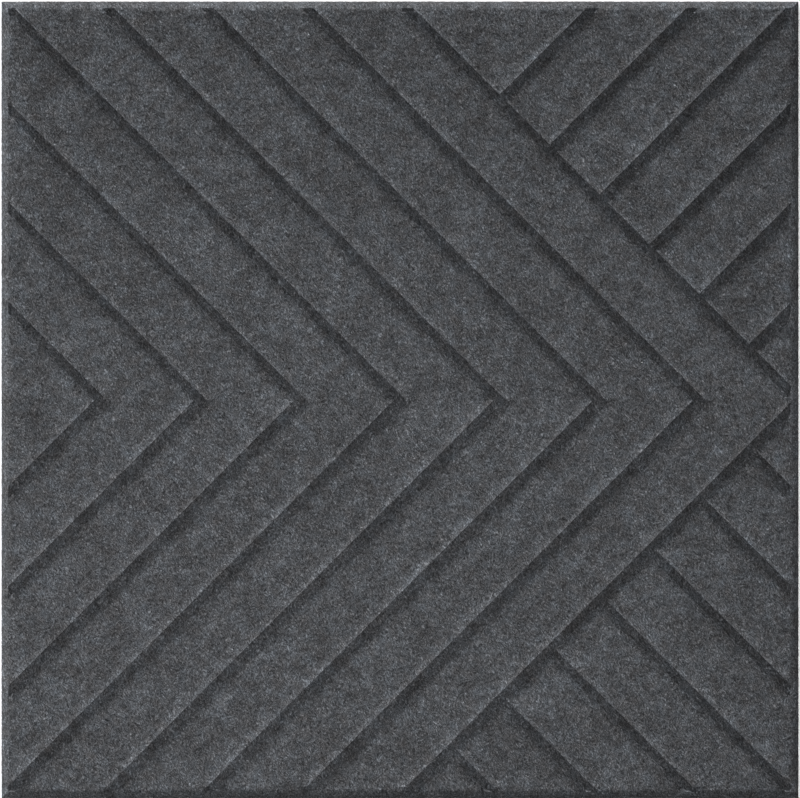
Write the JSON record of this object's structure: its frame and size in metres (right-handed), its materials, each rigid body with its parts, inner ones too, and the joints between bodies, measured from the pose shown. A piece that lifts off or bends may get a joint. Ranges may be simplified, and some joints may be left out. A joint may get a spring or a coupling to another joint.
{
  "type": "grooved felt acoustic panel",
  "caption": "Square charcoal felt wall tile with a rounded front edge, its face grooved in nested chevrons that point to one side, with diagonal grooves in the corners beside the point.",
  "frame": {"origin": "middle of the flat back face, on the surface that the panel lies on", "axes": "+Z out of the grooved face, +X towards the points of the chevrons, +Y along the left and right edges"},
  "size_m": [0.6, 0.6, 0.0132],
  "materials": {
    "felt": "matt charcoal melange felt, soft to the touch, with short light fibres in a dark ground"
  },
  "bodies": {
    "root": {"felt_panel": "felt"}
  },
  "joints": []
}
